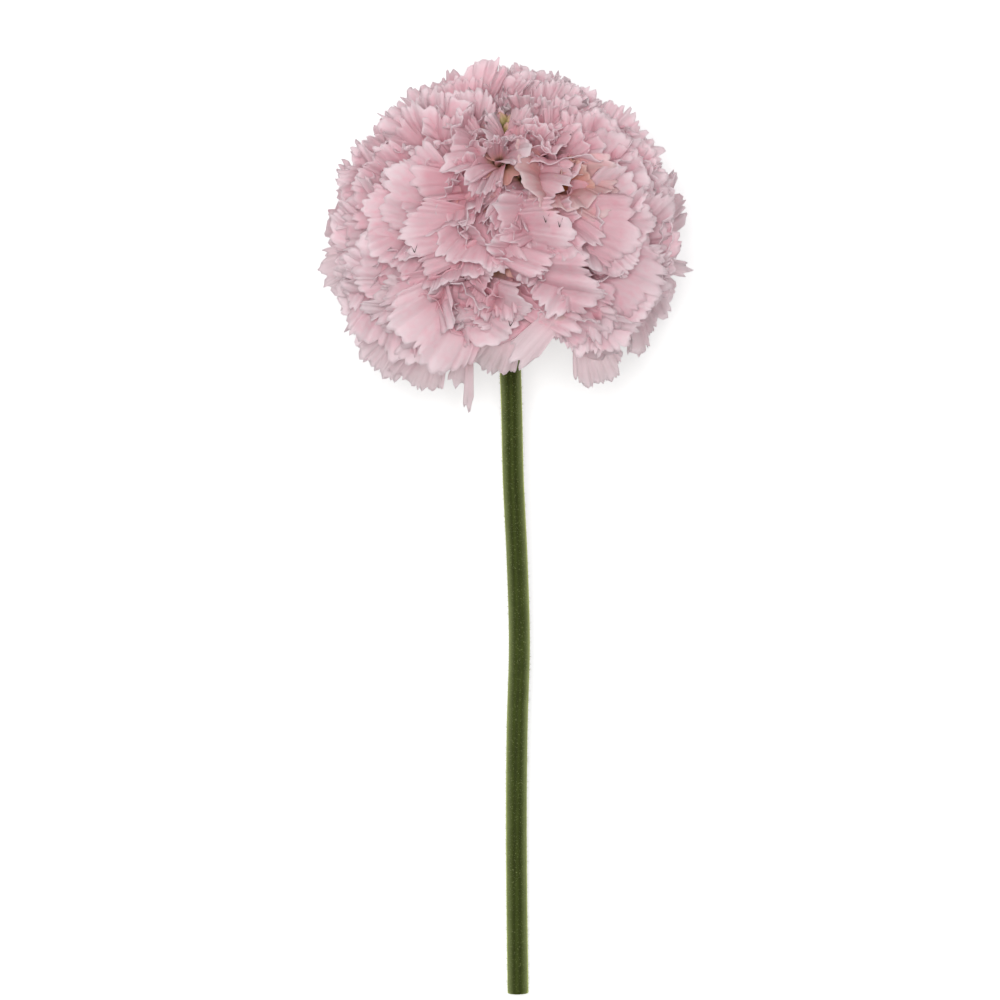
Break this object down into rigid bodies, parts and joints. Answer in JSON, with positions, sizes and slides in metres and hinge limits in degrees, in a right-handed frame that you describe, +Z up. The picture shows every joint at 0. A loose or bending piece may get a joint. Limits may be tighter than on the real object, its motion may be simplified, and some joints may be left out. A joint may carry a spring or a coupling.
{
  "type": "scabiosa flower",
  "caption": "Cut scabiosa flower of the full double form, one ball-shaped head of frilled, toothed pink florets on a bare green stem, lying on its side.",
  "frame": {"origin": "on the table, under the middle of the flower's outline", "axes": "+Z up from the table; +Y along the stem towards the head; the head's crown faces +Y and 29 degrees up"},
  "size_m": [0.0712, 0.1792, 0.0652],
  "materials": {
    "petals": "matt pale pink petal, thin and slightly see-through",
    "buds": "matt yellow-green closed bud",
    "bracts": "matt green leaf with fine hairs",
    "stem": "satin dark green stem with fine pale hairs"
  },
  "bodies": {
    "root": {"florets": "petals", "centre_buds": "buds", "involucre": "bracts", "stem": "stem"}
  },
  "joints": []
}
